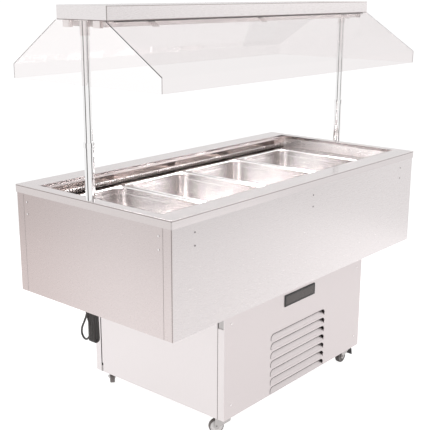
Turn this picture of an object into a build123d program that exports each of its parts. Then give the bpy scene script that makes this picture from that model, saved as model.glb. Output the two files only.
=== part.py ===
from build123d import *
import os
from math import cos, pi, radians, sin, tan

os.makedirs("parts", exist_ok=True)

# Buffet island: a refrigerated well with four food pans on a castored base,
# under a clear hood that is carried by two telescopic posts.
# Millimetres, +X along the island, -Y the louvred side, +Z up, origin on the floor.

# Driving dimensions
rim_length = 1500
rim_depth = 750
rim_height = 868
tank_height = 390
sheet = 1.5
thin_sheet = 1.2
seam = 0.6
seat_gap = 0.3

# Upper tank casing
rim_overhang = 3
rim_flange = 28
corner_return = 36
bottom_return = 20
end_strip = 40
front_strip = 78
rear_strip = 88
inner_flange = 12

# Well
well_depth = 323
well_lip = 10
insulation_thickness = 28
drain_x = -375
drain_y = 170
drain_bore = 26
drain_wall = 3
pipe_hole_radius = 30
pipe_hole_x = 335

# Pans
pan_count = 4
pan_length = 530
pan_width = 325
pan_depth = 150
bar_width = 11
pan_lip = 11
pan_below_rim = 50
pan_step = 22
pan_ledge = 5
pan_end_gap = 7
pan_front_gap = 2
bar_rise = 2.5
filler_end_gap = 4

# Air duct behind the pans
duct_depth = 12
duct_bottom_drop = 60
slot_width = 5.5
slot_height = 15
slot_pitch = 12
slot_bottom_drop = 49
duct_ledge = 6

# Base cabinet
base_length = 890
base_depth = 656
caster_height = 70
cassette_return = 29
cassette_return_top = 413
rear_side_gap = 5
hand_notch_width = 10
hand_notch_height = 36
frame_tube = 25
tray_edge = 25

# Louvres and controller
louvre_count = 7
louvre_length = 353
louvre_height = 25.5
louvre_inset = 18
louvre_pitch = 35.3
louvre_top_height = 310
louvre_corner = 16
bezel_width = 195
bezel_height = 45
bezel_centre_height = 418
bezel_rim = 4
bezel_proud = 3
controller_body_depth = 55

# Casters
caster_inset = 43
caster_trail = 22
wheel_diameter = 54
wheel_width = 18
wheel_centre_radius = 20.5
wheel_boss_radius = 9
fork_sheet = 2.5
plate_length = 76
plate_width = 62
plate_thickness = 3
axle_diameter = 8

# Posts
post_edge_gap = 3
upper_tube = 28
tube_wall = 1.5
tube_slide_gap = 0.5
lower_tube_rise = 186
collar_bottom = 172
collar_height = 16
collar_wall = 2
upper_overlap = 58
socket_length = 46
socket_wall = 1.5

# Canopy and lamp
canopy_inset = 3
canopy_depth = 233
canopy_height = 45
canopy_rise = 568
lamp_end_gap = 1.5
lamp_depth = 164
lamp_height = 17
lamp_drop = 3
diffuser_thickness = 2.5

# Clear hood
hood_sheet = 3
hood_bend_rise = 417
hood_skirt_rise = 370
hood_half_depth = 344
hood_end_gap = 2

# Mains lead
cord_diameter = 8
hank_turns = 4
hank_pitch = 9
hank_fold_radius = 12.5
hank_outer_x = -477
hank_inner_x = -452.5
hank_first_y = 301
hank_bottom = 199
hank_top = 445
hank_start_height = 286
hank_end_height = 345
plug_height = 42

# Worked out from the driving dimensions
tank_bottom = rim_height - tank_height
case_x = rim_length / 2 - rim_overhang
case_y = rim_depth / 2 - rim_overhang
case_top = rim_height - sheet - seat_gap
well_x = rim_length / 2 - end_strip
well_floor_height = rim_height - well_depth
duct_bottom_height = rim_height - duct_bottom_drop
slot_bottom_height = rim_height - slot_bottom_drop
well_front = -rim_depth / 2 + front_strip
well_rear = rim_depth / 2 - rear_strip
liner_gap = 0.4
liner_x = well_x + sheet + liner_gap
liner_front = well_front - sheet - liner_gap
liner_rear = well_rear + sheet + liner_gap
shelf_top = rim_height - pan_below_rim - thin_sheet
pan_front = well_front + pan_front_gap
pan_rear = pan_front + pan_length
pan_y = (pan_front + pan_rear) / 2
pan_pitch = pan_width + bar_width
first_pan_x = -well_x + pan_end_gap + pan_width / 2
pan_places = [first_pan_x + pan_pitch * i for i in range(pan_count)]
bar_half = bar_width / 2
base_x = base_length / 2
base_y = base_depth / 2
caster_x = base_x - caster_inset
caster_y = base_y - caster_inset
axle_height = wheel_diameter / 2
post_x = rim_length / 2 - post_edge_gap - upper_tube / 2
lower_tube = upper_tube + 2 * (tube_wall + tube_slide_gap)
collar_diameter = lower_tube + 2 * collar_wall
socket_diameter = upper_tube + 2 * socket_wall
canopy_length = rim_length - 2 * canopy_inset
lamp_length = 2 * (post_x - socket_diameter / 2 - lamp_end_gap)
hood_inner_half_length = canopy_length / 2 + hood_end_gap
canopy_bottom = rim_height + canopy_rise
hood_bend = rim_height + hood_bend_rise
hood_skirt = rim_height + hood_skirt_rise


def slab(low, high, mode=Mode.ADD):
    # a block between two opposite corners
    size = [abs(b - a) for a, b in zip(low, high)]
    centre = [(a + b) / 2 for a, b in zip(low, high)]
    with Locations(tuple(centre)):
        Box(*size, mode=mode)


def finish(builder, name):
    builder.part.label = name
    export_step(builder.part, f"parts/{name}.step")
    solids = builder.part.solids()
    print(f"{name}: {len(solids)} solid(s), {builder.part.volume / 1000:.1f} cm3")


# Top rim: one folded frame round the well
with BuildPart() as top_rim:
    slab(
        (-rim_length / 2, -rim_depth / 2, rim_height - rim_flange),
        (rim_length / 2, rim_depth / 2, rim_height),
    )
    fillet(top_rim.edges().filter_by(Axis.Z), 2.5)
    fillet(top_rim.edges().group_by(Axis.Z)[-1], 1.2)
    slab(
        (-rim_length / 2 + sheet, -rim_depth / 2 + sheet, rim_height - rim_flange),
        (rim_length / 2 - sheet, rim_depth / 2 - sheet, rim_height - sheet),
        Mode.SUBTRACT,
    )
    slab(
        (-well_x - sheet, well_front - sheet, rim_height - inner_flange),
        (well_x + sheet, well_rear + sheet, rim_height - sheet),
    )
    slab(
        (-well_x, well_front, rim_height - rim_flange),
        (well_x, well_rear, rim_height + 1),
        Mode.SUBTRACT,
    )
finish(top_rim, "top_rim")


def casing_side(side):
    # long casing panel, folded round both ends and under the tank
    with BuildPart() as panel:
        slab((-case_x, side * case_y, tank_bottom), (case_x, side * (case_y - corner_return), case_top))
        fillet(panel.edges().filter_by(Axis.Z).group_by(Axis.Y)[0 if side < 0 else -1], 1.4)
        slab(
            (-case_x + sheet, side * (case_y - sheet), tank_bottom + sheet),
            (case_x - sheet, side * (case_y - corner_return - 1), case_top + 1),
            Mode.SUBTRACT,
        )
        slab(
            (-case_x + sheet, side * (case_y - bottom_return), tank_bottom - 1),
            (case_x - sheet, side * (case_y - corner_return - 1), tank_bottom + sheet + 1),
            Mode.SUBTRACT,
        )
    return panel


front_panel = casing_side(-1)
finish(front_panel, "front_panel")
rear_panel = casing_side(1)
finish(rear_panel, "rear_panel")


def casing_end(side):
    # flat end panel between the folded corners, with a bottom flange
    reach = case_y - corner_return - seam
    with BuildPart() as panel:
        slab((side * (case_x - sheet), -reach, tank_bottom), (side * case_x, reach, case_top))
        slab(
            (side * (case_x - bottom_return), -reach, tank_bottom),
            (side * (case_x - sheet), reach, tank_bottom + sheet),
        )
    return panel


end_panel_left = casing_end(-1)
finish(end_panel_left, "end_panel_left")
end_panel_right = casing_end(1)
finish(end_panel_right, "end_panel_right")

# Tank floor: closes the casing from below, on the panels' bottom flanges
floor_top = tank_bottom + 2 * sheet
with BuildPart() as tank_floor:
    slab(
        (-case_x + sheet + seat_gap, -case_y + sheet + seat_gap, tank_bottom + sheet),
        (case_x - sheet - seat_gap, case_y - sheet - seat_gap, floor_top),
    )
    with Locations((drain_x, drain_y, floor_top)):
        Hole(radius=drain_bore / 2 + drain_wall + 1, depth=sheet * 2)
    with Locations((pipe_hole_x, 0, floor_top)):
        Hole(radius=pipe_hole_radius, depth=sheet * 2)
finish(tank_floor, "tank_floor")

# Well liner: the tub that hangs from the rim
liner_top = rim_height - sheet
with BuildPart() as well_liner:
    slab(
        (-liner_x - sheet, liner_front - sheet, well_floor_height - sheet),
        (liner_x + sheet, liner_rear + sheet, liner_top),
    )
    slab(
        (-liner_x - well_lip, liner_front - well_lip, liner_top - sheet),
        (liner_x + well_lip, liner_rear + well_lip, liner_top),
    )
    slab((-liner_x, liner_front, well_floor_height), (liner_x, liner_rear, liner_top + 1), Mode.SUBTRACT)
    with Locations((drain_x, drain_y, well_floor_height)):
        Hole(radius=drain_bore / 2 + drain_wall + 1, depth=sheet * 2)
    with Locations((pipe_hole_x, 0, well_floor_height)):
        Hole(radius=pipe_hole_radius, depth=sheet * 2)
finish(well_liner, "well_liner")

# Insulation: foamed jacket round the liner
jacket_in = sheet + seat_gap
jacket_out = jacket_in + insulation_thickness
jacket_top = liner_top - sheet - seat_gap
with BuildPart() as well_insulation:
    slab(
        (-liner_x - jacket_out, liner_front - jacket_out, well_floor_height - jacket_out),
        (liner_x + jacket_out, liner_rear + jacket_out, jacket_top),
    )
    slab(
        (-liner_x - jacket_in, liner_front - jacket_in, well_floor_height - jacket_in),
        (liner_x + jacket_in, liner_rear + jacket_in, jacket_top + 1),
        Mode.SUBTRACT,
    )
    with Locations((drain_x, drain_y, well_floor_height)):
        Hole(radius=drain_bore / 2 + drain_wall + 1, depth=jacket_out * 2)
    with Locations((pipe_hole_x, 0, well_floor_height)):
        Hole(radius=pipe_hole_radius, depth=jacket_out * 2)
finish(well_insulation, "well_insulation")

# Pan frame: ledge rails on the liner walls and hat bars between the pans
rail_web = 25
rail_reach = pan_lip - 1
shelf_bottom = shelf_top - sheet
front_ledge = pan_front + rail_reach
rear_ledge = pan_rear - rail_reach
rear_rail_back = pan_rear + 4
filler_left = pan_places[-1] + pan_width / 2 + 2 * bar_half
filler_right = well_x - filler_end_gap
bar_places = [x + pan_pitch / 2 for x in pan_places]
with BuildPart() as front_rail:
    slab(
        (-liner_x + seat_gap, liner_front + seat_gap, shelf_bottom),
        (liner_x - seat_gap, front_ledge, shelf_top),
    )
    slab(
        (-liner_x + seat_gap, liner_front + seat_gap, shelf_top - rail_web),
        (liner_x - seat_gap, liner_front + seat_gap + sheet, shelf_top),
    )
with BuildPart() as rear_rail:
    slab((-liner_x + seat_gap, rear_ledge, shelf_bottom), (liner_x - seat_gap, rear_rail_back, shelf_top))
    slab(
        (-liner_x + seat_gap, rear_rail_back - sheet, shelf_top - rail_web),
        (liner_x - seat_gap, rear_rail_back, shelf_top),
    )


def end_rail(side, inner_x):
    with BuildPart() as rail:
        slab(
            (side * (liner_x - seat_gap), front_ledge, shelf_bottom),
            (side * inner_x, rear_ledge, shelf_top),
        )
        slab(
            (side * (liner_x - seat_gap), front_ledge, shelf_top - rail_web),
            (side * (liner_x - seat_gap - sheet), rear_ledge, shelf_top),
        )
    return rail.part


def cross_bar(x):
    # inverted T: the pans' lips lie on both sides, the rib stands between them
    with BuildPart() as bar:
        slab(
            (x - bar_half - rail_reach, front_ledge, shelf_bottom),
            (x + bar_half + rail_reach, rear_ledge, shelf_top),
        )
        slab(
            (x - bar_half + seam, front_ledge, shelf_top),
            (x + bar_half - seam, rear_ledge, shelf_top + bar_rise),
        )
        slab((x - sheet / 2, front_ledge, shelf_top - rail_web), (x + sheet / 2, rear_ledge, shelf_top))
    return bar.part


left_reach = -(pan_places[0] - pan_width / 2 + rail_reach)
bars = [cross_bar(x) for x in bar_places]
with BuildPart() as pan_frame:
    add(front_rail.part)
    add(rear_rail.part)
    add(end_rail(-1, left_reach))
    add(end_rail(1, filler_right - rail_reach))
    add(bars)
finish(pan_frame, "pan_frame")

# Filler deck at the right-hand end, level with the pans' lips
with BuildPart() as filler_deck:
    slab((filler_left, pan_front, shelf_top), (filler_right, pan_rear, shelf_top + thin_sheet))
    slab(
        (filler_left + rail_reach + 2, front_ledge + 2, shelf_top - 10),
        (filler_right - rail_reach - 2, rear_ledge - 2, shelf_top),
    )
    slab(
        (filler_left + rail_reach + 2 + thin_sheet, front_ledge + 2 + thin_sheet, shelf_top - 11),
        (filler_right - rail_reach - 2 - thin_sheet, rear_ledge - 2 - thin_sheet, shelf_top),
        Mode.SUBTRACT,
    )
finish(filler_deck, "filler_deck")


def basin(inset):
    # the pan's body, or with an inset the hollow inside it
    mouth_x = pan_width - 2 * pan_lip - 2 * inset
    mouth_y = pan_length - 2 * pan_lip - 2 * inset
    corner = 44 - inset
    with BuildPart() as body:
        with BuildSketch(Plane((0, 0, 0))):
            RectangleRounded(mouth_x, mouth_y, corner)
        extrude(amount=-(pan_step - inset))
        with BuildSketch(Plane((0, 0, -(pan_step - inset)))):
            RectangleRounded(mouth_x - 2 * pan_ledge, mouth_y - 2 * pan_ledge, corner - pan_ledge)
        extrude(amount=-(pan_depth - thin_sheet - pan_step), taper=2)
        fillet(body.edges().group_by(Axis.Z)[0], 16 - inset)
    return body.part


pan_outside = basin(0)
pan_inside = basin(thin_sheet)
for number, x in enumerate(pan_places, start=1):
    with BuildPart() as pan:
        with Locations((x, pan_y, shelf_top)):
            add(pan_outside)
        with BuildSketch(Plane((x, pan_y, shelf_top))):
            RectangleRounded(pan_width, pan_length, 12)
        extrude(amount=thin_sheet)
        with Locations((x, pan_y, shelf_top)):
            add(pan_inside, mode=Mode.SUBTRACT)
        with BuildSketch(Plane((x, pan_y, shelf_top - 1))):
            RectangleRounded(
                pan_width - 2 * (pan_lip + thin_sheet),
                pan_length - 2 * (pan_lip + thin_sheet),
                44 - thin_sheet,
            )
        extrude(amount=thin_sheet + 2, mode=Mode.SUBTRACT)
    finish(pan, f"pan_{number}")

# Air ducts: two lengths of polished box along the rear wall, slotted at the bottom
duct_front = well_rear - duct_depth
duct_back = liner_rear - seat_gap
duct_top = rim_height - inner_flange - seat_gap


def duct(side):
    near = side * seam
    far = side * (liner_x - seat_gap)
    length = abs(far - near)
    count = int((length - 2 * slot_width) / slot_pitch)
    with BuildPart() as length_of_duct:
        slab((near, duct_front, duct_bottom_height), (far, duct_front + thin_sheet, duct_top))
        slab((near, duct_front, duct_top - thin_sheet), (far, duct_back, duct_top))
        slab(
            (near, duct_front - duct_ledge, duct_bottom_height),
            (far, duct_front, duct_bottom_height + thin_sheet),
        )
        slab((near, duct_front, duct_bottom_height), (far, duct_back, duct_bottom_height + thin_sheet))
        with Locations(((near + far) / 2, duct_front, slot_bottom_height + slot_height / 2)):
            with GridLocations(slot_pitch, 0, count, 1):
                Box(slot_width, 4 * thin_sheet, slot_height, mode=Mode.SUBTRACT)
    return length_of_duct.part


duct_left = duct(-1)
duct_right = duct(1)
with BuildPart() as air_ducts:
    add(duct_left)
    add(duct_right)
finish(air_ducts, "air_ducts")

# Evaporator under the pans: finned coil, with its fan housing beside it
coil_half = 300
coil_front = -60
coil_back = 40
coil_top = well_floor_height + 95
fin_pitch = 20
coil_rows = (-35, 15)
coil_levels = [well_floor_height + rise for rise in (30, 55, 77)]
fin_count = int(2 * coil_half / fin_pitch) - 1
fan_x = -360
fan_radius = 44
fan_height = well_floor_height + 56
fan_shaft_radius = 4
blade_pitch = 38
with BuildPart() as finned_coil:
    for end in (-1, 1):
        slab((end * coil_half, coil_front, well_floor_height), (end * (coil_half - 2), coil_back, coil_top))
    with Locations((0, (coil_front + coil_back) / 2, (well_floor_height + coil_top) / 2 + 6)):
        with GridLocations(fin_pitch, 0, fin_count, 1):
            Box(1, coil_back - coil_front - 4, coil_top - well_floor_height - 16)
    for row_y in coil_rows:
        for row_z in coil_levels:
            with BuildSketch(Plane(origin=(-coil_half, row_y, row_z), z_dir=(1, 0, 0))):
                Circle(5)
            extrude(amount=2 * coil_half)
with BuildPart() as fan_housing:
    slab((fan_x - 50, -34, well_floor_height), (fan_x + 50, -14, well_floor_height + 106))
    with BuildSketch(Plane(origin=(fan_x, -34, fan_height), z_dir=(0, 1, 0))):
        Circle(fan_radius + 3)
    extrude(amount=20, mode=Mode.SUBTRACT)
    slab((fan_x - 47.5, -16, fan_height - 4), (fan_x + 47.5, -14, fan_height + 4))
    with BuildSketch(Plane(origin=(fan_x, -14, fan_height), z_dir=(0, 1, 0))):
        Circle(20)
    extrude(amount=22)
    with BuildSketch(Plane(origin=(fan_x, -28, fan_height), z_dir=(0, 1, 0))):
        Circle(fan_shaft_radius)
    extrude(amount=20)
with BuildPart() as evaporator_coil:
    add(finned_coil.part)
    add(fan_housing.part)
finish(evaporator_coil, "evaporator_coil")


def fan_rotor(x, front, height, radius, hub_radius, width, blades, shaft_radius):
    # hub with a blind bore on its motor side, and pitched blades
    with BuildPart() as rotor:
        with BuildSketch(Plane(origin=(x, front, height), z_dir=(0, 1, 0))):
            Circle(hub_radius)
        extrude(amount=width)
        chord = (width - 3) / sin(radians(blade_pitch))
        for i in range(blades):
            turn = 2 * pi * i / blades
            outward = (cos(turn), 0, sin(turn))
            along = (-sin(turn), 0, cos(turn))
            with BuildSketch(Plane(origin=(x, front + width / 2, height), x_dir=along, z_dir=outward)):
                Rectangle(chord, 1.6, rotation=blade_pitch)
            extrude(amount=radius)
        with BuildSketch(Plane(origin=(x, front, height), z_dir=(0, 1, 0))):
            Circle(2 * radius)
            Circle(radius, mode=Mode.SUBTRACT)
        extrude(amount=width, mode=Mode.SUBTRACT)
        with BuildSketch(Plane(origin=(x, front + 2, height), z_dir=(0, 1, 0))):
            Circle(shaft_radius + 0.05)
        extrude(amount=2 * width, mode=Mode.SUBTRACT)
    return rotor


evaporator_fan = fan_rotor(fan_x, -31, fan_height, fan_radius, 14, 14, 5, fan_shaft_radius)
finish(evaporator_fan, "evaporator_fan")

# Drain: flanged outlet from the well into the base, with a cap nut
drain_end = tank_bottom - 40
with BuildPart() as well_drain:
    with BuildSketch(Plane((drain_x, drain_y, well_floor_height))):
        Circle(drain_bore / 2 + drain_wall + 12)
    extrude(amount=2)
    with BuildSketch(Plane((drain_x, drain_y, drain_end))):
        Circle(drain_bore / 2 + drain_wall)
    extrude(amount=well_floor_height - drain_end)
    with BuildSketch(Plane((drain_x, drain_y, drain_end - 12))):
        RegularPolygon(radius=24, side_count=6)
    extrude(amount=20)
    with BuildSketch(Plane((drain_x, drain_y, drain_end))):
        Circle(drain_bore / 2)
    extrude(amount=well_floor_height - drain_end + 10, mode=Mode.SUBTRACT)
finish(well_drain, "well_drain")

# Base frame: folded tray, four corner tubes and a top ring that carries the tank
frame_x = base_x - sheet - seat_gap
frame_y = base_y - sheet - seat_gap
with BuildPart() as base_frame:
    slab((-frame_x, -frame_y, caster_height), (frame_x, frame_y, caster_height + tray_edge))
    slab(
        (-frame_x + sheet, -frame_y + sheet, caster_height + sheet),
        (frame_x - sheet, frame_y - sheet, caster_height + tray_edge + 1),
        Mode.SUBTRACT,
    )
    for end in (-1, 1):
        for side in (-1, 1):
            slab(
                (end * frame_x, side * frame_y, caster_height),
                (end * (frame_x - frame_tube), side * (frame_y - frame_tube), tank_bottom),
            )
        slab(
            (end * frame_x, -frame_y, tank_bottom - frame_tube),
            (end * (frame_x - frame_tube), frame_y, tank_bottom),
        )
    for side in (-1, 1):
        slab(
            (-louvre_length / 2 - 5, side * (frame_y + 1), caster_height + sheet),
            (louvre_length / 2 + 5, side * (frame_y - 2 * sheet), caster_height + tray_edge + 1),
            Mode.SUBTRACT,
        )
        slab(
            (-frame_x, side * frame_y, tank_bottom - frame_tube / 2),
            (frame_x, side * (frame_y - frame_tube), tank_bottom),
        )
finish(base_frame, "base_frame")


def base_side(side):
    # stops short of the rear cassette, with a finger notch at its foot
    front_edge = -(base_y - cassette_return - seam)
    rear_edge = base_y - cassette_return - rear_side_gap
    notch_edge = base_y - cassette_return - hand_notch_width
    with BuildPart() as panel:
        slab((side * (base_x - sheet), front_edge, caster_height), (side * base_x, rear_edge, tank_bottom))
        slab(
            (side * (base_x - sheet - 1), notch_edge, caster_height - 1),
            (side * (base_x + 1), rear_edge + 1, caster_height + hand_notch_height),
            Mode.SUBTRACT,
        )
    return panel


base_side_left = base_side(-1)
finish(base_side_left, "base_side_left")
base_side_right = base_side(1)
finish(base_side_right, "base_side_right")

# Cassettes: louvred panels that close the front and the rear of the base
cassette_top = tank_bottom - seam
cutout_width = bezel_width - 2 * bezel_rim
cutout_height = bezel_height - 2 * bezel_rim


def louvre_block(width, height):
    # block with two rounded top corners, hung from its top edge, that cuts a slot or trims a blade
    with BuildPart() as block:
        with BuildSketch(Plane.XZ) as outline:
            Rectangle(width, height, align=(Align.CENTER, Align.MAX))
            fillet(outline.vertices().group_by(Axis.Y)[-1], louvre_corner)
        extrude(amount=2 * louvre_inset, both=True)
    return block.part


def louvre_blade(side, top):
    # slanted blade: joined to the panel along its foot, pressed inward at its top
    foot = top - louvre_height - 0.8
    with BuildPart() as blade:
        with BuildSketch(Plane(origin=(-louvre_length / 2, 0, 0), x_dir=(0, 1, 0), z_dir=(1, 0, 0))):
            Polygon(
                (side * base_y, foot),
                (side * (base_y - louvre_inset), top),
                (side * (base_y - louvre_inset - sheet), top),
                (side * (base_y - sheet), foot),
                align=None,
            )
        extrude(amount=louvre_length)
        with Locations((0, side * base_y, top)):
            add(blade_block, mode=Mode.INTERSECT)
    return blade.part


slot_block = louvre_block(louvre_length, louvre_height)
blade_block = louvre_block(louvre_length - 2 * seam, louvre_height + 1)
louvre_tops = [louvre_top_height - i * louvre_pitch for i in range(louvre_count)]


def cassette(side, with_cutout):
    blades = [louvre_blade(side, top) for top in louvre_tops]
    with BuildPart() as panel:
        slab(
            (-base_x, side * base_y, caster_height),
            (base_x, side * (base_y - cassette_return), cassette_top),
        )
        fillet(panel.edges().filter_by(Axis.Z).group_by(Axis.Y)[0 if side < 0 else -1], 1.4)
        slab(
            (-base_x + sheet, side * (base_y - sheet), caster_height - 1),
            (base_x - sheet, side * (base_y - cassette_return - 1), cassette_top + 1),
            Mode.SUBTRACT,
        )
        for end in (-1, 1):
            slab(
                (end * (base_x + 1), side * (base_y - 2 * sheet), cassette_return_top),
                (end * (base_x - 2 * sheet), side * (base_y - cassette_return - 1), cassette_top + 1),
                Mode.SUBTRACT,
            )
        for top in louvre_tops:
            with Locations((0, side * base_y, top)):
                add(slot_block, mode=Mode.SUBTRACT)
        add(blades)
        if with_cutout:
            slab(
                (-cutout_width / 2, side * (base_y + 1), bezel_centre_height - cutout_height / 2),
                (cutout_width / 2, side * (base_y - sheet - 1), bezel_centre_height + cutout_height / 2),
                Mode.SUBTRACT,
            )
    return panel


front_cassette = cassette(-1, True)
finish(front_cassette, "front_cassette")
rear_cassette = cassette(1, False)
finish(rear_cassette, "rear_cassette")

# Controller: moulded bezel and body behind the front cassette, with its window
bezel_face = -base_y - bezel_proud
with BuildPart() as controller_bezel:
    with BuildSketch(Plane(origin=(0, -base_y, bezel_centre_height), x_dir=(1, 0, 0), z_dir=(0, -1, 0))):
        RectangleRounded(bezel_width, bezel_height, 2)
    extrude(amount=bezel_proud)
    chamfer(controller_bezel.edges().group_by(Axis.Y)[0], 0.8)
    with BuildSketch(Plane(origin=(0, -base_y, bezel_centre_height), x_dir=(1, 0, 0), z_dir=(0, 1, 0))):
        Rectangle(cutout_width - 1, cutout_height - 1)
    extrude(amount=controller_body_depth)
    with BuildSketch(Plane(origin=(0, bezel_face, bezel_centre_height), x_dir=(1, 0, 0), z_dir=(0, 1, 0))):
        Rectangle(bezel_width - 14, bezel_height - 12)
    extrude(amount=1.5, mode=Mode.SUBTRACT)
finish(controller_bezel, "controller_bezel")
with BuildPart() as controller_window:
    window_face = (0, bezel_face + 0.2, bezel_centre_height)
    with BuildSketch(Plane(origin=window_face, x_dir=(1, 0, 0), z_dir=(0, 1, 0))):
        Rectangle(bezel_width - 14 - seam, bezel_height - 12 - seam)
    extrude(amount=1.3)
finish(controller_window, "controller_window")

# Refrigeration unit on the base tray
tray_top = caster_height + sheet
compressor_x = -150
compressor_y = 120
compressor_radius = 78
with BuildPart() as compressor:
    for end in (-1, 1):
        for side in (-1, 1):
            with BuildSketch(Plane((compressor_x + end * 75, compressor_y + side * 55, tray_top))):
                Circle(12)
            extrude(amount=14)
    slab(
        (compressor_x - 95, compressor_y - 70, tray_top + 14),
        (compressor_x + 95, compressor_y + 70, tray_top + 18),
    )
    with BuildSketch(Plane((compressor_x, compressor_y, tray_top + 18))):
        Circle(compressor_radius)
    extrude(amount=150)
    fillet(compressor.edges().group_by(Axis.Z)[-1], 40)
    with BuildSketch(Plane(origin=(compressor_x, compressor_y, tray_top + 95), z_dir=(-1, 0, 0))):
        Rectangle(60, 50)
    extrude(amount=compressor_radius + 28)
finish(compressor, "compressor")

condenser_half = 150
condenser_setback = 38
condenser_front = condenser_setback - base_y
condenser_depth = 44
condenser_bottom = tray_top
condenser_top = 315
condenser_back = condenser_front + condenser_depth
condenser_centre = 195
with BuildPart() as condenser_coil:
    for end in (-1, 1):
        slab(
            (end * condenser_half, condenser_front, condenser_bottom),
            (end * (condenser_half - 2), condenser_back, condenser_top),
        )
    with Locations((0, (condenser_front + condenser_back) / 2, (condenser_bottom + condenser_top) / 2 + 4)):
        with GridLocations(10, 0, 29, 1):
            Box(0.8, condenser_depth - 6, condenser_top - condenser_bottom - 14)
    for row_y in (condenser_front + 12, condenser_back - 12):
        for i in range(7):
            with BuildSketch(Plane(origin=(-condenser_half, row_y, 100 + 32 * i), z_dir=(1, 0, 0))):
                Circle(4)
            extrude(amount=2 * condenser_half)
finish(condenser_coil, "condenser_coil")

shroud_front = condenser_back + seat_gap
shroud_depth = 42
rotor_radius = 98
motor_front = shroud_front + shroud_depth - 2
with BuildPart() as condenser_shroud:
    slab(
        (-condenser_half, shroud_front, condenser_bottom),
        (condenser_half, shroud_front + shroud_depth, condenser_top),
    )
    slab(
        (-condenser_half + 2, shroud_front - 1, condenser_bottom + 2),
        (condenser_half - 2, shroud_front + shroud_depth - 2, condenser_top - 2),
        Mode.SUBTRACT,
    )
    with BuildSketch(Plane(origin=(0, shroud_front, condenser_centre), z_dir=(0, 1, 0))):
        Circle(rotor_radius + 6)
    extrude(amount=shroud_depth + 1, mode=Mode.SUBTRACT)
    for x in (-34, 34):
        slab((x - 5, motor_front, condenser_bottom), (x + 5, motor_front + 2, condenser_top))
    with BuildSketch(Plane(origin=(0, motor_front, condenser_centre), z_dir=(0, 1, 0))):
        Circle(38)
    extrude(amount=44)
    with BuildSketch(Plane(origin=(0, motor_front - 24, condenser_centre), z_dir=(0, 1, 0))):
        Circle(fan_shaft_radius)
    extrude(amount=30)
finish(condenser_shroud, "condenser_shroud")
condenser_fan = fan_rotor(
    0, motor_front - 30, condenser_centre, rotor_radius, 26, 26, 5, fan_shaft_radius
)
finish(condenser_fan, "condenser_fan")


def corner_radii(points, share=0.45):
    # each arc takes a set share of the shorter run beside its corner
    radii = []
    for before, here, after in zip(points, points[1:], points[2:]):
        first = Vector(*here) - Vector(*before)
        second = Vector(*after) - Vector(*here)
        turn = radians(first.get_angle(second))
        radii.append(share * min(first.length, second.length) / tan(turn / 2))
    return radii


def tube(points, radii, diameter):
    # a round tube along straight runs joined by tangent arcs
    with BuildPart() as swept:
        with BuildLine() as route:
            FilletPolyline(*points, radius=radii)
        start = Vector(*points[0])
        ahead = Vector(*points[1]) - start
        with BuildSketch(Plane(origin=start, z_dir=ahead)):
            Circle(diameter / 2)
        sweep(path=route.wires()[0])
    print(f"tube length {route.wires()[0].length:.0f}")
    return swept


# Refrigerant pipes: discharge from compressor to condenser, and the riser to the well
pipe_diameter = 10
compressor_top = tray_top + 168
discharge_points = [
    (compressor_x + 20, compressor_y, compressor_top),
    (compressor_x + 20, compressor_y, compressor_top + 60),
    (compressor_x + 30, condenser_back + 110, compressor_top + 120),
    (0, condenser_back + 20, condenser_top + 60),
    (60, (condenser_front + condenser_back) / 2, condenser_top + 50),
    (60, (condenser_front + condenser_back) / 2, condenser_top),
]
riser_points = [
    (compressor_x - 20, compressor_y, compressor_top),
    (compressor_x - 20, compressor_y, compressor_top + 90),
    (pipe_hole_x, coil_rows[1], compressor_top + 130),
    (pipe_hole_x, coil_rows[1], coil_levels[0]),
    (coil_half, coil_rows[1], coil_levels[0]),
]
discharge = tube(discharge_points, corner_radii(discharge_points, 0.3), pipe_diameter)
riser = tube(riser_points, corner_radii(riser_points, 0.3), pipe_diameter)
with BuildPart() as refrigerant_pipes:
    add(discharge.part)
    add(riser.part)
finish(refrigerant_pipes, "refrigerant_pipes")


# Casters: top plates with the outer race, swivelling forks, wheels and two brake levers
def caster_plane(x, y, yaw):
    # X of this plane points away from the trailing wheel
    return Plane(origin=(x, y, 0), x_dir=(cos(radians(yaw)), sin(radians(yaw)), 0), z_dir=(0, 0, 1))


casters = {
    "front_left": (-caster_x, -caster_y, -35),
    "front_right": (caster_x, -caster_y, 0),
    "rear_left": (-caster_x, caster_y, -130),
    "rear_right": (caster_x, caster_y, 30),
}
plate_bottom = caster_height - plate_thickness
race_gap = 0.3
race_radius = 22
race_height = 5
fork_top = plate_bottom - race_height - race_gap
with BuildPart() as caster_plates:
    for x, y, yaw in casters.values():
        with BuildSketch(Plane((x, y, plate_bottom))):
            RectangleRounded(plate_length, plate_width, 6)
        extrude(amount=plate_thickness)
        with BuildSketch(Plane((x, y, plate_bottom - race_height))):
            Circle(race_radius)
        extrude(amount=race_height)
        with BuildSketch(Plane((x, y, plate_bottom - 3))):
            with GridLocations(plate_length - 16, plate_width - 14, 2, 2):
                RegularPolygon(radius=6, side_count=6)
        extrude(amount=3)
finish(caster_plates, "caster_plates")

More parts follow.
